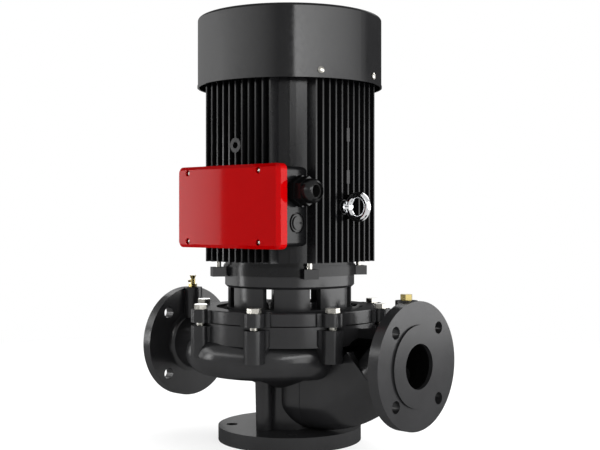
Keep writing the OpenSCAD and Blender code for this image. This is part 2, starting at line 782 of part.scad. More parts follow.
// Plan of one smooth corner, filling the space between two fin groups, with its rib
module corner_plan() {
  intersection() {
    circle(r = corner_r);
    translate([fin_side, fin_side]) square([corner_r, corner_r]);
  }
  rotate([0, 0, 45]) translate([frame_r - 3, -corner_rib_w / 2])
    square([corner_r + 4.5 - frame_r, corner_rib_w]);
}

module motor_frame() {
  fin_h = frame_top - fin_z - 4;
  color(frame_color) difference() {
    union() {
      translate([0, 0, frame_z]) cylinder(r = frame_r, h = frame_h);
      translate([0, 0, fin_z]) for (i = [0 : 3]) rotate([0, 0, i * 90]) {
        linear_extrude(fin_h) fin_plan();
        linear_extrude(fin_h) corner_plan();
      }
      translate([-fin_side, -pad_y - lap, box_z - box_h / 2])
        cube([2 * fin_side, pad_y - frame_bore_r / 2, box_h]);
      // boss of the lifting eye, and the thickened places on the middle fins
      translate([frame_r - 6, 0, eye_z]) along_x() cylinder(r = 11, h = eye_seat - frame_r + 6);
      for (dz = [45, 108]) translate([fin_reach - 12, -3.2, eye_z + dz - 10]) cube([12, 6.4, 20]);
      translate([0, -fin_reach + 14, eye_z + 92]) along_front() cylinder(r = 11, h = 14);
    }
    translate([0, 0, frame_z - lap]) cylinder(r = frame_bore_r, h = frame_h + 2 * lap);
    // seat of the terminal box, and room for the gland and the plug beside it
    difference() {
      translate([-box_w / 2 - run, -2 * corner_r, box_z - box_h / 2 - 3])
        cube([box_w + 2 * run, 2 * corner_r - fin_flank + 0.5, box_h + 6]);
      seat_outline(corner_r, pad_y);
    }
    translate([box_w / 2, gland_y, gland_z]) along_x() hexagon(gland_af + 2.4, gland_af);
    translate([box_w / 2, gland_y, blank_z]) along_x() cylinder(r = 14, h = gland_af);
    translate([0, -frame_bore_r + 12, box_z - box_h / 4]) along_front()
      cylinder(r = lead_hole_r, h = 40);
    box_screw_places() translate([0, 0, -14]) cylinder(r = 3 + fit, h = 20);
    // clearing round the lifting eye
    translate([frame_r + 1, 0, eye_z]) along_x() ring(18.5, 11, 40);
    translate([eye_seat, 0, eye_z]) along_x() cylinder(r = 18.5, h = 30);
    translate([frame_r - 8, 0, eye_z]) along_x() cylinder(r = 5 + fit, h = 40);
    translate([0, -fin_reach + 6, eye_z + 92]) along_front() cylinder(r = 5, h = 20);
    around(4, tie_out, tie_turn) translate([0, 0, frame_z - lap])
      cylinder(r = tie_r + 0.5, h = frame_h + 2 * lap);
  }
}

module stator_core() {
  slots = 24;
  color(steel_color) translate([0, 0, core_z]) difference() {
    ring(frame_bore_r - fit, rotor_d / 2 + run, core_l);
    around(slots, rotor_d / 2 - lap) translate([0, -1.2, -lap])
      cube([9, 2.4, core_l + 2 * lap]);
  }
}

module stator_windings() {
  color([0.62, 0.30, 0.14]) for (z = [core_z - 30, core_z + core_l]) translate([0, 0, z])
    rotate_extrude() translate([rotor_d / 2 + 8, 0])
      polygon([[0, 3], [3, 0], [22, 0], [26, 4], [26, 26], [22, 30], [3, 30], [0, 27]]);
}

module rotor_core() {
  color(steel_color) translate([0, 0, core_z - 8]) difference() {
    union() {
      translate([0, 0, 8]) cylinder(d = rotor_d, h = core_l);
      cylinder(d = rotor_d - 8, h = core_l + 16);
    }
    translate([0, 0, -lap]) cylinder(r = 20 + fit, h = core_l + 20);
  }
}

module motor_shaft() {
  seat_r = bearing_bore / 2;
  color(steel_color) difference() {
    union() {
      translate([0, 0, shaft_low]) cylinder(r = shaft_end_r, h = low_bearing_z - shaft_low);
      translate([0, 0, low_bearing_z - lap]) cylinder(r = seat_r, h = bearing_w + 2 * lap);
      translate([0, 0, low_bearing_z + bearing_w])
        cylinder(r = seat_r + 3, h = core_z - low_bearing_z);
      translate([0, 0, core_z - 20]) cylinder(r = 20, h = core_l + 40);
      translate([0, 0, core_z + core_l]) cylinder(r = seat_r + 3, h = top_bearing_z - core_z - core_l);
      translate([0, 0, top_bearing_z - lap]) cylinder(r = seat_r, h = bearing_w + lap);
      translate([0, 0, top_bearing_z + bearing_w - lap])
        cylinder(r = fan_seat_r, h = fan_z + 30 - top_bearing_z - bearing_w + lap);
    }
    translate([shaft_end_r - 4, -key_w / 2, sleeve_low + 1])
      cube([8, key_w, sleeve_top - sleeve_low - 2]);
    translate([0, 0, fan_z + 24.2]) ring(fan_seat_r + lap, fan_seat_r - 1, 1.6);
  }
}

module top_shield() {
  z0 = frame_top;
  color(base_color) difference() {
    union() {
      rotate_extrude() polygon([[bearing_r + fit, z0 - 6], [bearing_r + 10, z0 - 6],
        [bearing_r + 14, z0], [frame_bore_r - 8, z0], [frame_bore_r - 8, z0 - 6],
        [frame_bore_r - fit, z0 - 6], [frame_bore_r - fit, z0], [frame_r, z0],
        [frame_r, z0 + top_shield_h], [bearing_r + 20, z0 + top_shield_h],
        [bearing_r + 7, top_bearing_z + bearing_w + 7], [fan_seat_r + 1.5, top_bearing_z + bearing_w + 7],
        [fan_seat_r + 1.5, top_bearing_z + bearing_w + 3], [bearing_r + fit, top_bearing_z + bearing_w + 3]]);
      around(4, 0, tie_turn) translate([frame_r - 8, -10, z0])
        cube([tie_out + 9 - frame_r + 8, 20, top_shield_h]);
      for (az = cowl_screw_az) rotate([0, 0, az]) translate([frame_r - 8, -8, z0])
        cube([cowl_r - cowl_t - run - frame_r + 8, 16, top_shield_h]);
    }
    around(4, tie_out, tie_turn) translate([0, 0, z0 - lap])
      cylinder(r = tie_r + 0.5, h = top_shield_h + 2 * lap);
    for (az = cowl_screw_az) rotate([0, 0, az])
      translate([cowl_r - 24, 0, cowl_screw_z]) along_x() cylinder(r = 2.5 + fit, h = 30);
  }
}

module wave_spring() {
  color(steel_color) translate([0, 0, top_bearing_z + bearing_w])
    ring(bearing_r - 1, outer_race_r + 1, 2.6);
}

module tie_bolts() {
  length = frame_top + top_shield_h - ear_low - 3;
  color(steel_color) around(4, tie_out, tie_turn)
    translate([0, 0, frame_top + top_shield_h]) hex_bolt(2 * tie_r, 13, 6, length);
}

module fan() {
  color(black_color) translate([0, 0, fan_z]) difference() {
    union() {
      cylinder(r = 21, h = 24);
      rotate_extrude() polygon([[15, 3], [fan_d / 2 - 22, 0], [fan_d / 2 - 22, 2.5], [15, 8]]);
      around(fan_blades) translate([18, -1.5, 1])
        cube([fan_d / 2 - 18, 3, fan_h]);
      around(fan_blades, 0, 180 / fan_blades) translate([18, -1, 1])
        cube([34, 2, 16]);
    }
    translate([0, 0, -lap]) cylinder(r = fan_seat_r + fit, h = 40);
    translate([0, 0, 24]) cylinder(r = 24, h = 20);
  }
}

module fan_clip() {
  color(steel_color) translate([0, 0, fan_z + 24.3]) difference() {
    ring(fan_seat_r + 3.5, fan_seat_r - 0.9, 1.4);
    translate([0, -3, -lap]) cube([30, 6, 5]);
  }
}

module fan_cowl() {
  grille_r = cowl_r - 30;
  slot_rings = 7;
  slot_pitch = (grille_r - 22) / slot_rings;
  color(base_color) difference() {
    rotate_extrude() difference() {
      union() {
        translate([0, cowl_z]) square([cowl_r, cowl_h - cowl_edge_r]);
        translate([0, cowl_top - cowl_edge_r]) square([cowl_r - cowl_edge_r, cowl_edge_r]);
        intersection() {
          translate([cowl_r - cowl_edge_r, cowl_top - cowl_edge_r]) circle(r = cowl_edge_r);
          translate([cowl_r - cowl_edge_r, cowl_top - cowl_edge_r])
            square([cowl_edge_r + lap, cowl_edge_r + lap]);
        }
        translate([cowl_r - 0.5, cowl_z]) square([1.3, 3]);
      }
      inner_r = cowl_r - cowl_t;
      inner_edge = cowl_edge_r - cowl_t;
      translate([-lap, cowl_z - lap]) square([inner_r + lap, cowl_h + lap - cowl_edge_r]);
      translate([-lap, cowl_top - cowl_edge_r - lap])
        square([inner_r - inner_edge + lap, cowl_edge_r - cowl_t + lap]);
      translate([inner_r - inner_edge, cowl_top - cowl_edge_r]) intersection() {
        circle(r = inner_edge);
        translate([-lap, -lap]) square([inner_edge + 2 * lap, inner_edge + 2 * lap]);
      }
      translate([-cowl_r - 5, cowl_z - 5]) square([cowl_r + 5, cowl_h + 10]);
    }
    // grille: rings of slots parted by eight spokes
    translate([0, 0, cowl_top - cowl_t - lap]) linear_extrude(cowl_t + 2 * lap) difference() {
      for (i = [0 : slot_rings - 1]) difference() {
        circle(r = 22 + i * slot_pitch + slot_pitch * 0.6);
        circle(r = 22 + i * slot_pitch);
      }
      for (i = [0 : 3]) rotate([0, 0, 22.5 + i * 45]) square([2 * cowl_r, 6], center = true);
    }
    for (az = cowl_screw_az) rotate([0, 0, az])
      translate([cowl_r - 10, 0, cowl_screw_z]) along_x() cylinder(r = 3, h = 20);
  }
}

module cowl_screws() {
  color(steel_color) for (az = cowl_screw_az) rotate([0, 0, az])
    translate([cowl_r, 0, cowl_screw_z]) along_x() {
      translate([0, 0, -18]) cylinder(r = 2.5, h = 18.1);
      intersection() {
        cylinder(r = 5, h = 3);
        translate([0, 0, -4]) sphere(r = 7.2);
      }
    }
}

// The frame's outline behind the box: a flat in the middle and round corners
module seat_outline(r, flat) {
  intersection() {
    translate([0, 0, box_z - box_h]) cylinder(r = r, h = 2 * box_h);
    translate([-box_w, -flat, box_z - box_h]) cube([2 * box_w, 2 * pad_y, 2 * box_h]);
  }
}

module box_back(grow) { seat_outline(corner_r + run + grow, pad_y + grow); }

// Puts the children on the frame's flat at the box's four screws, pointing to the front
module box_screw_places() {
  for (x = [-box_screw_x, box_screw_x], dz = [-box_screw_dz, box_screw_dz])
    translate([x, -pad_y, box_z + dz]) along_front() children();
}

// A block with round upright corners whose front is at y = -front, for the box and its cover
module face_block(w, h, front, depth, corner) {
  translate([0, -front + depth, box_z]) along_front() linear_extrude(depth) {
    square([w - 2 * corner, h], center = true);
    square([w, h - 2 * corner], center = true);
    for (x = [-1, 1], z = [-1, 1]) translate([x * (w / 2 - corner), z * (h / 2 - corner)])
      circle(r = corner);
  }
}

module terminal_box() {
  color(base_color) difference() {
    union() {
      difference() {
        face_block(box_w, box_h, box_front, box_front - fin_flank - run, 6);
        box_back(0);
      }
      for (x = lid_screw_x, z = [-1, 1]) difference() {
        translate([x, -box_front + 14, box_z + z * lid_screw_dz]) along_front()
          cylinder(r = 6, h = 14);
        box_back(0);
      }
    }
    difference() {
      face_block(box_w - 2 * box_wall, box_h - 2 * box_wall, box_front + lap,
        box_front - fin_flank + 2 * lap, 4);
      box_back(box_wall);
      for (x = lid_screw_x, z = [-1, 1])
        translate([x, -box_front + 16, box_z + z * lid_screw_dz]) along_front()
          cylinder(r = 6, h = 16);
    }
    for (x = lid_screw_x, z = [-1, 1])
      translate([x, -box_front + 10, box_z + z * lid_screw_dz]) along_front()
        cylinder(r = 2 + fit, h = 12);
    translate([box_w / 2 - box_wall - 2, gland_y, gland_z]) along_x()
      cylinder(d = gland_d + 2 * fit, h = 12);
    translate([box_w / 2 - box_wall - 2, gland_y, blank_z]) along_x()
      cylinder(r = 10 + fit, h = 12);
    translate([box_w / 2 - 2, gland_y, blank_z]) along_x() cylinder(r = 15.5, h = 4);
    translate([0, -pad_y + lap, box_z - box_h / 4]) along_front()
      cylinder(r = lead_hole_r, h = box_wall + 2 * lap);
    box_screw_places() translate([0, 0, -lap]) cylinder(r = 3.4, h = box_wall + 2 * lap);
  }
}

module box_screws() {
  color(steel_color) box_screw_places() {
    translate([0, 0, box_wall]) cylinder(r = 5, h = 4);
    translate([0, 0, -10]) cylinder(r = 3, h = box_wall + 10.1);
  }
}

module terminal_board() {
  color([0.45, 0.25, 0.14]) difference() {
    translate([-34, -board_y - 8, box_z - 6]) cube([68, 8, 44]);
    for (x = [-22, 0, 22], dz = [4, 28]) translate([x, -board_y + lap, box_z + dz]) along_front()
      cylinder(r = 2.5 + fit, h = 12);
    translate([-lap, -board_y - 10, box_z + 32]) cube([2 * lap, 12, 10]);
  }
}

module terminal_studs() {
  color(brass_color) for (x = [-22, 0, 22], dz = [4, 28])
    translate([x, -board_y - 0.2, box_z + dz]) along_front() {
      cylinder(r = 2.5, h = 19);
      translate([0, 0, 7.8]) hexagon(8, 4);
    }
}

module cover_gasket() {
  color(black_color) difference() {
    face_block(box_w, box_h, gasket_front, gasket_t, 6);
    face_block(box_w - 2 * box_wall, box_h - 2 * box_wall, gasket_front + lap,
      gasket_t + 2 * lap, 4);
  }
}

module terminal_cover() {
  inset = lid_w / 2 - lid_corner;
  color([0.65, 0.02, 0.02]) difference() {
    translate([lid_shift, -gasket_front, box_z]) along_front() hull()
      for (x = [-inset, inset], y = [-1, 1])
        translate([x, y * (lid_h / 2 - lid_corner), 0]) {
          cylinder(r = lid_corner, h = lid_t - lid_bevel, $fn = 32);
          cylinder(r = lid_corner - lid_bevel, h = lid_t, $fn = 32);
        }
    translate([0, -gasket_front + lap, box_z]) along_front() linear_extrude(lid_t - 4 + lap)
      square([box_w - 2 * box_wall, box_h - 28], center = true);
    for (x = lid_screw_x, z = [-1, 1])
      translate([x, -gasket_front + lap, box_z + z * lid_screw_dz]) along_front() {
        cylinder(r = 2.3, h = lid_t + 2 * lap);
        translate([0, 0, lid_t + lap - 5]) cylinder(r = 4.6, h = 6);
      }
  }
}

module cover_screws() {
  color(steel_color) for (x = lid_screw_x, z = [-1, 1])
    translate([x, -lid_front + 5, box_z + z * lid_screw_dz]) along_front() {
      translate([0, 0, -lid_t - 4]) cylinder(r = 2, h = lid_t + 4.1);
      intersection() {
        cylinder(r = 3.8, h = 3.2);
        translate([0, 0, -2.4]) sphere(r = 5.4);
      }
    }
}

module gland_body() {
  color(black_color) translate([box_w / 2, gland_y, gland_z]) along_x() difference() {
    union() {
      translate([0, 0, -box_wall]) cylinder(d = gland_d, h = box_wall + lap);
      cylinder(d = gland_af * 0.97, h = 3);
      translate([0, 0, 2.5]) hexagon(gland_af, 9.5);
      translate([0, 0, 11]) cylinder(d = gland_d, h = 9);
    }
    translate([0, 0, -box_wall - lap]) cylinder(d = gland_hole_d + 2, h = 40);
  }
}

module gland_nut() {
  color(black_color) translate([box_w / 2 + 12.3, gland_y, gland_z]) along_x() difference() {
    union() {
      hexagon(gland_af - 3, 12);
      translate([0, 0, 11.9]) cylinder(d = gland_d + 6, h = 6.1);
      translate([0, 0, 17.9]) rotate_extrude() intersection() {
        translate([gland_d / 2 - 9, 0]) circle(r = 12);
        square([gland_d, 13]);
      }
    }
    translate([0, 0, -lap]) cylinder(d = gland_d + 2 * fit, h = 12);
    translate([0, 0, 10]) cylinder(d = gland_hole_d + 7, h = 10);
    translate([0, 0, 19]) cylinder(d = gland_hole_d + 2, h = 20);
  }
}

module gland_seal() {
  color(black_color) translate([box_w / 2 + 21, gland_y, gland_z]) along_x() difference() {
    union() {
      cylinder(d = gland_hole_d + 2 - 2 * fit, h = 16);
      translate([0, 0, 1.5]) cylinder(d = gland_hole_d + 6.8, h = 8);
    }
    translate([0, 0, -lap]) cylinder(d = gland_hole_d - 3, h = 30);
  }
}

module blanking_plug() {
  color(black_color) translate([box_w / 2, gland_y, blank_z]) along_x() difference() {
    union() {
      translate([0, 0, -box_wall]) cylinder(r = 10, h = 4);
      translate([0, 0, -2]) cylinder(r = 13, h = 3.2);
      cylinder(r = 10, h = 3);
    }
    translate([-1.2, -7, 1.6]) cube([2.4, 14, 4]);
  }
}

module lifting_eye() {
  color([0.9, 0.9, 0.92]) translate([0, 0, eye_z]) {
    translate([frame_r - 3, 0, 0]) along_x() cylinder(r = 5, h = eye_seat - frame_r + 5);
    translate([eye_seat, 0, 0]) along_x() cylinder(r = 10, h = eye_collar);
    translate([eye_seat + eye_collar - lap, 0, 0]) along_x() cylinder(r1 = 8, r2 = 4.5, h = 8);
    difference() {
      translate([eye_x, 0, 0]) rotate([90, 0, 0])
        rotate_extrude() translate([eye_ring_r, 0]) circle(d = eye_bar_d);
    }
  }
}

volute_casing();
wear_ring();
motor_stool();
casing_o_ring();
casing_bolts();
impeller();
impeller_key();
impeller_nut();
pump_shaft();
shaft_key();
set_screws();
seal_spring();
seal_rotary();
seal_seat();
vent_valve();
vent_screw();
gauge_plug();
drive_end_shield();
flange_screws();
v_ring();
bearing_outer(low_bearing_z);  // lower_bearing_outer
bearing_inner(low_bearing_z);  // lower_bearing_inner
ball_cage(low_bearing_z);  // lower_ball_cage
motor_frame();
stator_core();
stator_windings();
rotor_core();
motor_shaft();
top_shield();
bearing_outer(top_bearing_z);  // upper_bearing_outer
bearing_inner(top_bearing_z);  // upper_bearing_inner
ball_cage(top_bearing_z);  // upper_ball_cage
wave_spring();
tie_bolts();
fan();
fan_clip();
fan_cowl();
cowl_screws();
terminal_box();
box_screws();
terminal_board();
terminal_studs();
cover_gasket();
terminal_cover();
cover_screws();
gland_body();
gland_nut();
gland_seal();
blanking_plug();
lifting_eye();
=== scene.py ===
# %% [markdown]
# # A vertical in-line pump
# The pump stands upright in a straight run of pipe: a charcoal casting with two flanges in one
# line, a finned motor on a stool above it, a sheet-steel cowl over the motor's fan and a red cover
# on the terminal box. The solid model already holds the shapes. So this lesson is about finishes
# and light: what each piece is made of, how its surface came about, and how to say that with
# procedural nodes and a few softboxes.

# %% Load the frame
import bpy
import json
import math
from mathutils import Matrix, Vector

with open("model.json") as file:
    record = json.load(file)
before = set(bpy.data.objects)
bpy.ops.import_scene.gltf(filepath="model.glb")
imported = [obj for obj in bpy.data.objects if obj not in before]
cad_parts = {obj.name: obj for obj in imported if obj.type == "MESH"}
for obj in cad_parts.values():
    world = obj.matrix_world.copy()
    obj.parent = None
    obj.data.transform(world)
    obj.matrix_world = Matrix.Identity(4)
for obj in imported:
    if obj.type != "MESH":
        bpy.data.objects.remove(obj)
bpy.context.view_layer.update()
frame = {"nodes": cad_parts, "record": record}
nodes = frame["nodes"]

# %% [markdown]
# ## The camera
# The photograph looks at the pump from its front right corner, 42 degrees round from the face with
# the terminal box. A camera tilted down at it would make the upright edges lean together. This one
# is level, so that they stay parallel by themselves. A long lens stands well back and draws the
# near and the far flange at nearly the same size, and a slight shift of the lens puts the pump at
# the photograph's height in the frame.

# %% Camera
LEVEL = math.radians(90)              # an unturned camera looks straight down
AZIMUTH = math.radians(42.19)
CAMERA_AT = Vector((1.1131, -1.2038, 0.3419))
FOCAL_MM = 62.46
HEIGHT_SHIFT = -0.0077

camera_data = bpy.data.cameras.new("photo_camera")
camera_data.lens = FOCAL_MM
camera_data.shift_y = HEIGHT_SHIFT
camera = bpy.data.objects.new("photo_camera", camera_data)
camera.location = CAMERA_AT
camera.rotation_euler = (LEVEL, 0, AZIMUTH)
bpy.context.scene.collection.objects.link(camera)
bpy.context.scene.camera = camera
bpy.context.scene.view_settings.view_transform = "Standard"
print("camera", round(CAMERA_AT.length, 2), "m away")

# %% [markdown]
# ## Colours and nodes
# Every colour below is an sRGB hex value, the way a paint chart or a picture editor gives it.
# Blender's sockets want linear light, so one function turns one into the other. A second one adds
# a node, sets its properties and socket values and joins it up. The trees could also be drawn by
# hand in the shader editor, but in code a material reads as a short list, and two finishes that
# differ only in their numbers can share it.

# %% Colours and nodes
WHITE = (1, 1, 1, 1)


def linear(hex_code):
    """An sRGB hex colour as linear red, green, blue and alpha."""
    parts = [int(hex_code[i:i + 2], 16) / 255 for i in (1, 3, 5)]
    return [p / 12.92 if p <= 0.04045 else ((p + 0.055) / 1.055) ** 2.4 for p in parts] + [1.0]


def add(tree, kind, values=None, links=None, **settings):
    """One node in a tree: settings are its properties, values and links go to its sockets."""
    new = tree.nodes.new(kind)
    for name, setting in settings.items():
        setattr(new, name, setting)
    for socket, value in (values or {}).items():
        new.inputs[socket].default_value = value
    for socket, output in (links or {}).items():
        tree.links.new(output, new.inputs[socket])
    return new


print("the grey #808080 is", round(linear("#808080")[0], 3), "in linear light")

# %% [markdown]
# ## A blank material
# Each finish starts from the same blank: one Principled shader, which covers metals, plastics and
# paint alike, and the object's own coordinates in metres. A texture map would need every solid to
# be unwrapped first. Object coordinates need nothing, and a pattern's scale follows from its real
# size: a noise of scale 1 has blobs of about a metre, so a grain of 2 mm has scale 500.

# %% Blank material and pattern scale
def start(name):
    """A new material: its node tree, its surface shader and object coordinates in metres."""
    material = bpy.data.materials.new(name)
    material.use_nodes = True
    tree = material.node_tree
    tree.nodes.clear()
    shader = add(tree, "ShaderNodeBsdfPrincipled")
    add(tree, "ShaderNodeOutputMaterial", links={"Surface": shader.outputs[0]})
    place = add(tree, "ShaderNodeTexCoord").outputs["Object"]
    return material, tree, shader, place


def per_metre(size_mm):
    """The scale of a noise pattern whose blobs are about this size."""
    return 1000 / size_mm


print("a grain of 2.5 mm has scale", per_metre(2.5))

# %% [markdown]
# ## Paint is a body under a gloss
# A painted surface sends light back in two ways: the pigment scatters it to all sides, and the
# smooth skin of the binder mirrors a little of it. A Principled shader does both, but its mirror
# grows strong at a glancing angle, and in a white room every edge of a black pump that turns away
# then lights up like chalk, which the photograph doesn't show. So the two are kept apart here.
# The body gets no mirror of its own, and over it lies a clear gloss that mirrors an even share of
# the light from wherever it is seen. The share is small, from half a hundredth on the red cover to
# two hundredths on the casting, because the softboxes that it mirrors are many times brighter
# than white.

# %% A second shader over the first, and the gloss
BODY_ROUGHNESS = 0.7                  # of the matt body under the gloss


def lay_over(tree, top):
    """Mixes a second shader over what reaches the output. The caller sets how much of it."""
    output = next(node for node in tree.nodes if node.type == "OUTPUT_MATERIAL")
    below = output.inputs["Surface"].links[0].from_socket
    both = add(tree, "ShaderNodeMixShader", links={1: below, 2: top.outputs[0]})
    tree.links.new(both.outputs[0], output.inputs["Surface"])
    return both


def glaze(tree, shader, share, gloss, normal):
    """Lays an even, clear gloss over a matt body and returns its node."""
    shader.inputs["Specular IOR Level"].default_value = 0.0
    shader.inputs["Roughness"].default_value = BODY_ROUGHNESS
    coat = add(tree, "ShaderNodeBsdfAnisotropic", {"Color": WHITE, "Roughness": gloss},
               {"Normal": normal})
    lay_over(tree, coat).inputs[0].default_value = share
    return coat


print("every gloss lies over a body of roughness", BODY_ROUGHNESS)

# %% [markdown]
# ## Enamel on cast iron
# The casing and the motor stool are grey iron, poured in sand, shot-blasted and sprayed with one
# coat of satin charcoal enamel. The sand leaves a fine pebbled grain that the paint softens but
# doesn't hide, so the eye sees broad, soft reflections that break up at their edges. A photograph
# of a casting could give that grain. A noise needs none, never repeats and follows the casting
# round every corner. Two noises do it: the grain moves the bump and the roughness together, and a
# slow one lets the shade drift, as it does where a sprayed coat is thicker or thinner. Real grain
# is near 1 mm and wouldn't show at this distance, so it is drawn 2.5 mm wide. Satin paint has a
# roughness of 0.2 to 0.3, and here the lower end matches the photograph.

# %% Painted castings
NOISE_LOW, NOISE_HIGH = 0.3, 0.7      # a noise seldom leaves this range
DRIFT_MM = 60
DRIFT_FROM, DRIFT_TO = 0.35, 0.70     # where along the slow noise the shade changes
SMOOTHER, DULLER = 0.05, 0.07         # how far the grain moves the roughness down and up


def painted_casting(name, paint, lighter, grain_mm, depth_mm, gloss, share):
    """Sprayed paint whose shade drifts slowly and whose grain breaks up its reflections."""
    material, tree, shader, place = start(name)
    drift = add(tree, "ShaderNodeTexNoise", {"Scale": per_metre(DRIFT_MM), "Detail": 3.0},
                {"Vector": place})
    grain = add(tree, "ShaderNodeTexNoise", {"Scale": per_metre(grain_mm), "Detail": 4.0,
                "Roughness": 0.6}, {"Vector": place})
    tone = add(tree, "ShaderNodeValToRGB", links={0: drift.outputs["Fac"]})
    tone.color_ramp.elements[0].position = DRIFT_FROM
    tone.color_ramp.elements[1].position = DRIFT_TO
    tone.color_ramp.elements[0].color = linear(paint)
    tone.color_ramp.elements[1].color = linear(lighter)
    rough = add(tree, "ShaderNodeMapRange", {"From Min": NOISE_LOW, "From Max": NOISE_HIGH,
                "To Min": gloss - SMOOTHER, "To Max": gloss + DULLER},
                {"Value": grain.outputs["Fac"]})
    bump = add(tree, "ShaderNodeBump", {"Strength": 0.35, "Distance": depth_mm / 1000},
               {"Height": grain.outputs["Fac"]})
    tree.links.new(tone.outputs["Color"], shader.inputs["Base Color"])
    tree.links.new(bump.outputs["Normal"], shader.inputs["Normal"])
    coat = glaze(tree, shader, share, gloss, bump.outputs["Normal"])
    tree.links.new(rough.outputs["Result"], coat.inputs["Roughness"])
    return material


# Satin charcoal over sand-cast grain: wide, soft, slightly broken reflections.
cast_iron_enamel = painted_casting("enamel_on_sand_cast_iron", "#1a1a1b", "#202021",
                                   grain_mm=2.5, depth_mm=0.20, gloss=0.20, share=0.021)
print("made", cast_iron_enamel.name)

# %% [markdown]
# ## Painted shade in the bores and the seam
# Deep in the branches little light reaches the bores, so a flange looks like a ring round a dark
# hole. That shade is painted here: behind a short painted lip the bores get a near-black colour.
# And where the casing's cover is bolted down, the two painted rims meet with a fine gap, and its
# shadow is painted as a dark line. Both could be painted by hand onto an image, or be thin pieces
# of their own. A mask made from the object's coordinates is simpler and stays sharp from near by.
# The bore is all that lies close to the line through both branches, and the seam is what lies at
# the rim, at the height of the joint.

# %% Painted shade in the bores and the cover's seam
BRANCH_HEIGHT = 0.135                 # of the line through both branches, in metres
BORE_RADIUS = 0.0329                  # a little over the bore's own 32.5 mm
LIP_FROM = 0.2435                     # the painted lip begins this far from the shaft
JOINT_HEIGHT = 0.188                  # where the cover lies on the casing
RIM_RADIUS = 0.142
RIM_REACH = 0.0015                    # how far the seam reaches to either side of the rim
SEAM_HALF = 0.0008                    # real gap near 0.5 mm, drawn 1.6 mm so that it shows
PAINTED_SHADE_COLOUR = linear("#060606")         # near-black painted shade for the deep bores and the seam's gap


def distance(tree, place, centre, axes):
    """How far each point lies from a centre, counted along the marked axes only."""
    moved = add(tree, "ShaderNodeVectorMath", {1: centre}, {0: place}, operation="SUBTRACT")
    kept = add(tree, "ShaderNodeVectorMath", {1: axes}, {0: moved.outputs[0]},
               operation="MULTIPLY")
    return add(tree, "ShaderNodeVectorMath", links={0: kept.outputs[0]},
               operation="LENGTH").outputs["Value"]


def paint_shade_in_bores_and_seam(material):
    """Paints shade as near-black colour in the branch bores and along the seam's gap under the
    cover.
    """
    tree = material.node_tree
    place = add(tree, "ShaderNodeTexCoord").outputs["Object"]
    axes = add(tree, "ShaderNodeSeparateXYZ", links={0: place}).outputs
    from_bore_line = distance(tree, place, (0, 0, BRANCH_HEIGHT), (0, 1, 1))
    from_shaft = distance(tree, place, (0, 0, 0), (1, 1, 0))
    near_line = add(tree, "ShaderNodeMath", {1: BORE_RADIUS}, {0: from_bore_line},
                    operation="LESS_THAN")
    behind_lip = add(tree, "ShaderNodeMath", {1: 0.0, 2: LIP_FROM}, {0: axes["X"]},
                     operation="COMPARE")
    on_rim = add(tree, "ShaderNodeMath", {1: RIM_RADIUS, 2: RIM_REACH}, {0: from_shaft},
                 operation="COMPARE")
    at_joint = add(tree, "ShaderNodeMath", {1: JOINT_HEIGHT, 2: SEAM_HALF}, {0: axes["Z"]},
                   operation="COMPARE")
    in_bore = add(tree, "ShaderNodeMath", links={0: near_line.outputs[0],
                  1: behind_lip.outputs[0]}, operation="MULTIPLY")
    in_seam = add(tree, "ShaderNodeMath", links={0: on_rim.outputs[0],
                  1: at_joint.outputs[0]}, operation="MULTIPLY")
    in_shade = add(tree, "ShaderNodeMath", links={0: in_bore.outputs[0], 1: in_seam.outputs[0]},
               operation="MAXIMUM")
    # Painted shade: a near-black diffuse laid over the enamel where the bores and the seam's gap
    # lie in shade.
    painted_shade = add(tree, "ShaderNodeBsdfDiffuse", {"Color": PAINTED_SHADE_COLOUR})
    tree.links.new(in_shade.outputs[0], lay_over(tree, painted_shade).inputs[0])


# Paint the shade of the deep bores and of the seam's gap into the casting's enamel.
paint_shade_in_bores_and_seam(cast_iron_enamel)

# %% [markdown]
# ## Paint on die-cast aluminium
# The motor's finned frame, its two shields and the terminal box are aluminium, cast under pressure
# in steel dies. The skin under the paint is smoother than sand-cast iron, so the grain nearly
# vanishes, and the eye sees a soft gleam along each fin and corner. It could have a recipe of its
# own, but it is the same kind of coat over a finer and shallower grain, so the same function
# serves. The paint is written nearly black, as deep as the photograph has it between the fins.

# %% Die-cast paint
frame_paint = painted_casting("paint_on_die_cast_aluminium", "#0c0c0d", "#101011",
                              grain_mm=1.6, depth_mm=0.08, gloss=0.20, share=0.0133)
print("made", frame_paint.name)

# %% [markdown]
# ## Paint on drawn sheet steel
# The fan cowl is drawn from sheet, which has no grain at all. What shows is the orange peel of the
# sprayed coat: shallow waves about 6 mm across, which bend the edge of a reflection without
# breaking it, under a tighter highlight than the castings have. Modelling waves of a few hundredths
# of a millimetre would be a waste of mesh. The same function serves again, with the peel in the
# place of the grain.

# %% Sheet steel paint
cowl_paint = painted_casting("paint_on_drawn_sheet_steel", "#0c0c0d", "#101011",
                             grain_mm=6.0, depth_mm=0.03, gloss=0.13, share=0.016)
print("made", cowl_paint.name)

# %% [markdown]
# ## The gloss red cover
# The terminal box's cover is pressed and sprayed in a smooth gloss red. Its flat front works like
# a dark mirror: where it faces a softbox it turns paler, where it faces none it stays deep red,
# and a crisp upright line runs between the two. A colour ramp across the front could fake that
# line, but it would stay where it is when the view turns. A deep red body under a thin, very
# smooth gloss lets the light itself draw the line. The red is written a shade deeper than the
# photograph has it in the dark half, because the light of the room lifts it a little. The orange
# peel, 5 mm across, is so shallow that the line stays straight.

# %% Red gloss paint
PEEL_MM = 5
PEEL_DEPTH = 0.00003                  # metres
FADE_MM = 90


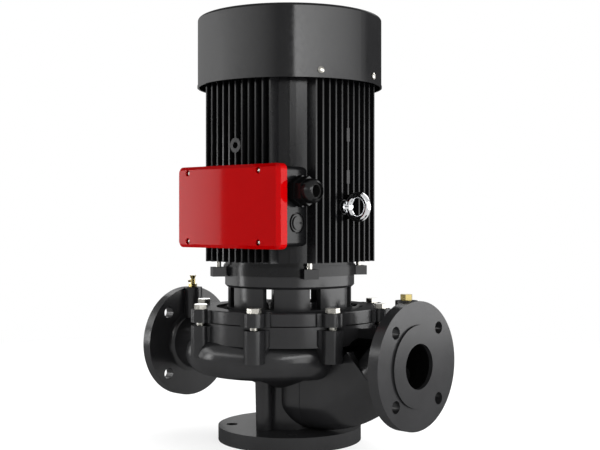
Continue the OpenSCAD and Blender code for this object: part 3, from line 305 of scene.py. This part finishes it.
def gloss_red():
    """Deep red that fades a little over the cover, under a gloss as smooth as glass."""
    material, tree, shader, place = start("red_gloss_coat")
    peel = add(tree, "ShaderNodeTexNoise", {"Scale": per_metre(PEEL_MM), "Detail": 2.0},
               {"Vector": place})
    fade = add(tree, "ShaderNodeTexNoise", {"Scale": per_metre(FADE_MM), "Detail": 1.0},
               {"Vector": place})
    tone = add(tree, "ShaderNodeMix", {6: linear("#900103"), 7: linear("#980204")},
               {0: fade.outputs["Fac"]}, data_type="RGBA")
    bump = add(tree, "ShaderNodeBump", {"Strength": 0.05, "Distance": PEEL_DEPTH},
               {"Height": peel.outputs["Fac"]})
    tree.links.new(tone.outputs[2], shader.inputs["Base Color"])
    tree.links.new(bump.outputs["Normal"], shader.inputs["Normal"])
    glaze(tree, shader, share=0.0052, gloss=0.04, normal=bump.outputs["Normal"])
    return material


red_paint = gloss_red()
print("made", red_paint.name)

# %% [markdown]
# ## Bare metals
# A bare metal has no body colour. What the eye takes for its colour is the room, tinted, and in
# this room that is white walls and lamps much brighter than white. So a metal comes out paler here
# than it is written, and the zinc and the brass are written a step darker than a chart gives them.
# One recipe serves all five: a metallic base, a cloud that varies tone and roughness, and a fine
# noise that is squeezed along the axis until it reads as the rings that a lathe or a grinding
# wheel leaves. An anisotropic shader could draw those rings too, but it needs a direction on every
# piece, and a bump doesn't. The rings lie about a tenth of a millimetre apart, as fine cuts do,
# and at this distance all that they do is blur a highlight along the shaft.

# %% The metal recipe
CLOUD_MM = 9
TURNED = (1, 1, 14)                   # rings round an upright axis
CLOUDY = (1, 1, 1)                    # no direction


def bare_metal(name, dark, light, gloss, spread, lines_mm, depth_mm, squeeze):
    """A metal with a cloudy gloss and fine lines, which squeeze gives their direction."""
    material, tree, shader, place = start(name)
    stretched = add(tree, "ShaderNodeMapping", {"Scale": squeeze}, {"Vector": place})
    lines = add(tree, "ShaderNodeTexNoise", {"Scale": per_metre(lines_mm), "Detail": 3.0},
                {"Vector": stretched.outputs[0]})
    cloud = add(tree, "ShaderNodeTexNoise", {"Scale": per_metre(CLOUD_MM), "Detail": 4.0},
                {"Vector": place})
    tone = add(tree, "ShaderNodeMix", {6: linear(dark), 7: linear(light)},
               {0: cloud.outputs["Fac"]}, data_type="RGBA")
    rough = add(tree, "ShaderNodeMapRange", {"From Min": NOISE_LOW, "From Max": NOISE_HIGH,
                "To Min": gloss - spread, "To Max": gloss + spread},
                {"Value": cloud.outputs["Fac"]})
    bump = add(tree, "ShaderNodeBump", {"Strength": 0.3, "Distance": depth_mm / 1000},
               {"Height": lines.outputs["Fac"]})
    tree.links.new(tone.outputs[2], shader.inputs["Base Color"])
    tree.links.new(rough.outputs["Result"], shader.inputs["Roughness"])
    tree.links.new(bump.outputs["Normal"], shader.inputs["Normal"])
    shader.inputs["Metallic"].default_value = 1.0
    return material


print("rings of a 1.2 mm noise lie", round(1.2 / TURNED[2], 3), "mm apart")

# %% [markdown]
# ## Five metals
# The bolts and screws are zinc plated. The shafts, keys, springs and bearings are ground steel.
# The motor's cores are stacks of stamped electrical sheet, the lifting eye is nickel plated, and
# the vent valve and the gauge plug are turned from brass. They could be told apart by colour
# alone, but the eye goes by gloss first: dull sheet, satin zinc, steel and brass, and a nickel
# that mirrors.

# %% Five metals
# Zinc: grey and cloudy, so a bolt's flats catch the light unevenly.
zinc_plate = bare_metal("zinc_plated_steel", "#7c7a74", "#999791", gloss=0.30, spread=0.08,
                        lines_mm=1.5, depth_mm=0.03, squeeze=CLOUDY)
# Ground steel: clean and even, with a highlight drawn out across the rings.
ground_steel = bare_metal("ground_steel", "#a9aaab", "#c6c7c8", gloss=0.28, spread=0.06,
                          lines_mm=1.2, depth_mm=0.04, squeeze=TURNED)
# Stacked sheet: dull, with the edges of the sheets as faint rings.
sheet_stack = bare_metal("stacked_electrical_sheet", "#6f7074", "#8a8b8e", gloss=0.5,
                         spread=0.05, lines_mm=3.0, depth_mm=0.15, squeeze=TURNED)
# Nickel: nearly a mirror, so it shows hard black and white bands.
bright_plate = bare_metal("bright_nickel_plate", "#bcbdbf", "#cdcecf", gloss=0.08, spread=0.03,
                          lines_mm=3.0, depth_mm=0.01, squeeze=CLOUDY)
# Brass: an olive gold, since air has taken its first shine.
turned_brass = bare_metal("turned_brass", "#605634", "#7c714b", gloss=0.28, spread=0.08,
                          lines_mm=1.2, depth_mm=0.04, squeeze=TURNED)
print("made five bare metals")

# %% [markdown]
# ## Plastics, rubber and what lies inside
# The cable gland, the blanking plug and the fan are moulded in black nylon, with the faint speckle
# of a spark-eroded mould. The seals and gaskets are rubber. Inside the motor and the casing lie
# varnished copper coils, a brown phenolic board and a lapped ceramic ring, which a pose or a
# cut-away view may show. Each could be built up in layers, but at this size only tone, gloss and
# grain reach the eye, so one recipe with one noise serves all five. The two black ones also get
# the gloss of the paints, for the same reason as there.

# %% Moulded and hidden finishes
def moulded(name, dark, light, grain_mm, depth_mm, gloss, share=None):
    """A moulded or hidden finish: one noise gives both speckle and grain."""
    material, tree, shader, place = start(name)
    grain = add(tree, "ShaderNodeTexNoise", {"Scale": per_metre(grain_mm), "Detail": 3.0},
                {"Vector": place})
    tone = add(tree, "ShaderNodeMix", {6: linear(dark), 7: linear(light)},
               {0: grain.outputs["Fac"]}, data_type="RGBA")
    bump = add(tree, "ShaderNodeBump", {"Strength": 0.4, "Distance": depth_mm / 1000},
               {"Height": grain.outputs["Fac"]})
    tree.links.new(tone.outputs[2], shader.inputs["Base Color"])
    tree.links.new(bump.outputs["Normal"], shader.inputs["Normal"])
    shader.inputs["Roughness"].default_value = gloss
    if share:
        glaze(tree, shader, share, gloss, bump.outputs["Normal"])
    return material


# Nylon: black and satin, so only its rims and flats gleam.
black_nylon = moulded("moulded_black_nylon", "#080808", "#0e0e0f",
                      grain_mm=1.0, depth_mm=0.04, gloss=0.22, share=0.016)
# Rubber: duller and a shade greyer than the nylon beside it.
black_rubber = moulded("moulded_black_rubber", "#0c0c0c", "#121212",
                       grain_mm=0.8, depth_mm=0.10, gloss=0.6, share=0.010)
# Phenolic board: a flat brown with a paper-like speckle.
terminal_board = moulded("brown_phenolic_board", "#3a2417", "#4a2f1e",
                         grain_mm=2.0, depth_mm=0.05, gloss=0.5)
# Lapped ceramic: pale and smooth, like the glaze of a cup.
seal_ceramic = moulded("lapped_seal_ceramic", "#d8d2c4", "#e2ddd1",
                       grain_mm=3.0, depth_mm=0.01, gloss=0.2)
# Varnished copper: warm brown, lumpy from the wires under the varnish.
copper_coils = moulded("varnished_copper_wire", "#7a3a16", "#a65a28",
                       grain_mm=1.2, depth_mm=0.4, gloss=0.3)
print("made five moulded and hidden finishes")

# %% [markdown]
# ## Dressing the solids
# Each solid from the model keeps its shape and only takes on a finish. Every solid could be dressed
# by name, one line each, but the model's record already says which finish belongs on which one. So
# one table from the record's words to the materials dresses the whole pump.

# %% Put each finish on its solids
FINISHES = {
    "cast_paint": cast_iron_enamel, "frame_paint": frame_paint, "cowl_paint": cowl_paint,
    "red_paint": red_paint, "zinc": zinc_plate, "bright_steel": ground_steel,
    "core_steel": sheet_stack, "chrome": bright_plate, "brass": turned_brass,
    "winding": copper_coils, "board": terminal_board, "ceramic": seal_ceramic,
    "black_plastic": black_nylon, "rubber": black_rubber,
}

for part in frame["record"]["subparts"]:
    solid = nodes[part["node"]]
    solid.data.materials.clear()
    solid.data.materials.append(FINISHES[part["material_slot"]])

# %% [markdown]
# ## The floor
# The pump stands on a studio floor. A real studio curves its paper up behind the object to hide
# the corner, and that sheet could be modelled here too. A flat square of 12 m does the same with
# four points, because the room behind it is the same white.

# %% Floor sheet
FLOOR_SIZE = 12.0
half = FLOOR_SIZE / 2
floor_mesh = bpy.data.meshes.new("studio_floor")
floor_mesh.from_pydata([(-half, -half, 0), (half, -half, 0), (half, half, 0), (-half, half, 0)],
                       [], [(0, 1, 2, 3)])
floor = bpy.data.objects.new("studio_floor", floor_mesh)
bpy.context.scene.collection.objects.link(floor)
print("floor", FLOOR_SIZE, "m wide")

# %% [markdown]
# ## White that keeps a shadow
# The photograph is a studio shot on pure white. Lamps strong enough to bring a floor to pure white
# would burn out everything pale on the pump. So the floor shines by itself when the camera or a
# reflection looks at it. Near the pump it keeps three tenths of its own shading, which holds a
# soft shadow under the foot, and it gives that up with distance, so that no horizon shows against
# the white room behind.

# %% Floor finish
SHADOW_NEAR, SHADOW_FAR = 0.35, 1.5   # metres from the shaft over which the shading fades
OWN_LIGHT_NEAR = 0.7                  # the part of the floor's look that isn't shading


def seen_directly(tree):
    """1 for what the camera sees, also in a mirror or through glass, and 0 for lighting."""
    path = add(tree, "ShaderNodeLightPath").outputs
    mirror = add(tree, "ShaderNodeMath", links={0: path["Is Glossy Ray"],
                 1: path["Is Transmission Ray"]}, operation="MAXIMUM")
    return add(tree, "ShaderNodeMath", links={0: path["Is Camera Ray"], 1: mirror.outputs[0]},
               operation="MAXIMUM").outputs[0]


def white_floor():
    """Matt white that shines by itself when it is looked at, and less so near the pump."""
    material = bpy.data.materials.new("white_studio_floor")
    material.use_nodes = True
    tree = material.node_tree
    tree.nodes.clear()
    matte = add(tree, "ShaderNodeBsdfDiffuse", {"Color": linear("#f4f4f4")})
    glow = add(tree, "ShaderNodeEmission", {"Color": WHITE, "Strength": 1.0})
    place = add(tree, "ShaderNodeTexCoord").outputs["Object"]
    reach = add(tree, "ShaderNodeVectorMath", links={0: place}, operation="LENGTH")
    whiter = add(tree, "ShaderNodeMapRange", {"From Min": SHADOW_NEAR, "From Max": SHADOW_FAR,
                 "To Min": OWN_LIGHT_NEAR, "To Max": 1.0}, {"Value": reach.outputs["Value"]})
    share = add(tree, "ShaderNodeMath", links={0: seen_directly(tree),
                1: whiter.outputs["Result"]}, operation="MULTIPLY")
    mixed = add(tree, "ShaderNodeMixShader", links={0: share.outputs[0], 1: matte.outputs[0],
                2: glow.outputs[0]})
    add(tree, "ShaderNodeOutputMaterial", links={"Surface": mixed.outputs[0]})
    return material


floor.data.materials.append(white_floor())
print("floor keeps", round(1 - OWN_LIGHT_NEAR, 2), "of its shading near the pump")

# %% [markdown]
# ## A white room
# Behind the pump and all round it is plain white, as in the photograph. A world at full strength
# would give that, and would also flood every gap with light. The same question as on the floor
# parts the two: what is looked at is white, and as a light the room counts for only an eighth of
# that, so the stool's windows and the gaps between the fins stay dark.

# %% World
ROOM_LIGHT = 0.12

world = bpy.data.worlds.new("studio_world")
bpy.context.scene.world = world
world.use_nodes = True
room = world.node_tree
room.nodes.clear()
strength = add(room, "ShaderNodeMapRange", {"To Min": ROOM_LIGHT, "To Max": 1.0},
               {"Value": seen_directly(room)})
backdrop = add(room, "ShaderNodeBackground", {"Color": WHITE},
               {"Strength": strength.outputs["Result"]})
add(room, "ShaderNodeOutputWorld", links={"Surface": backdrop.outputs[0]})
print("the room lights the pump at", ROOM_LIGHT, "of its own white")

# %% [markdown]
# ## Softboxes
# Dark glossy paint shows little colour of its own. What draws its form is where a lamp is mirrored
# in it, and where that mirror image ends. A softbox is a lit sheet of cloth, and it is rarely even:
# it is brightest near the lamp behind it. A plain area lamp is even, so a ramp in the lamp's own
# nodes fades it along its width. All but one stand upright round the pump like parts of a ring. The
# power is tied to the area, so that the ramp's numbers are plain brightness: 6 means that a mirror
# would show it six times as bright as white.

# %% A softbox
HIGHEST_AIM = 0.9                     # metres: a lamp above this looks down at the pump


def softbox(name, span, reach, heights, glow):
    """An upright softbox between two compass angles, with its brightness given at both ends."""
    ends = [Vector((reach * math.cos(math.radians(a)), reach * math.sin(math.radians(a)), 0))
            for a in span]
    middle = (ends[0] + ends[1]) / 2
    light = bpy.data.lights.new(name, "AREA")
    light.shape = "RECTANGLE"
    light.size = (ends[1] - ends[0]).length
    light.size_y = heights[1] - heights[0]
    light.energy = math.pi * light.size * light.size_y
    light.use_nodes = True
    tree = light.node_tree
    tree.nodes.clear()
    along = add(tree, "ShaderNodeSeparateXYZ",
                links={0: add(tree, "ShaderNodeNewGeometry").outputs["Parametric"]})
    fade = add(tree, "ShaderNodeMapRange", {"To Min": glow[0], "To Max": glow[1]},
               {"Value": along.outputs["X"]})
    lit = add(tree, "ShaderNodeEmission", links={"Strength": fade.outputs["Result"]})
    add(tree, "ShaderNodeOutputLight", links={"Surface": lit.outputs[0]})
    lamp = bpy.data.objects.new(name, light)
    lamp.location = middle + Vector((0, 0, (heights[0] + heights[1]) / 2))
    aim = Vector((0, 0, min(lamp.location.z, HIGHEST_AIM))) - lamp.location
    lamp.rotation_euler = aim.to_track_quat("-Z", "Y").to_euler()
    bpy.context.scene.collection.objects.link(lamp)


print("softboxes above", HIGHEST_AIM, "m look down at the pump")

# %% [markdown]
# ## Where they stand
# An upright face mirrors what stands at the far end of a line that leaves it at the slope at which
# the view came in, so the upper part of the pump mirrors the upper part of the room. Two rows of
# lamps can then light it in two ways. The low row is for the motor frame, the red cover and the
# rims of the casing: a narrow bright lamp at the left, whose end nearest the camera draws the line
# on the red cover, a wide and dimmer one beside it, and one at the right. The high row is for the
# fan cowl: pale at its left, fading to black towards the middle, and pale again from a hard edge
# on. One long strip all round would light every side alike and leave the cowl as flat as a disc.
# The last lamp hangs high behind the pump, for its back and top.

# %% Seven softboxes
REACH = 2.2                           # metres from the shaft
BACK_REACH = 2.4
LOW_ROW = (0.02, 0.66)                # heights in metres
HIGH_ROW = (0.70, 1.12)
ABOVE_THE_PUMP = (1.3, 2.3)

softbox("left_low_softbox", (-142, -134.1), REACH, LOW_ROW, (29, 6))
softbox("left_wide_softbox", (-225, -150), REACH, LOW_ROW, (7, 4.5))
softbox("left_high_softbox", (-225, -137), REACH, HIGH_ROW, (8.2, 6))
softbox("front_high_softbox", (-137, -62), REACH, HIGH_ROW, (6, 0))
softbox("right_high_softbox", (-42, 60), REACH, HIGH_ROW, (12, 0))
softbox("right_low_softbox", (-30, 75), REACH, LOW_ROW, (3.7, 9))
softbox("back_high_softbox", (75, 165), BACK_REACH, ABOVE_THE_PUMP, (8, 8))
print("lit by seven softboxes and the room")
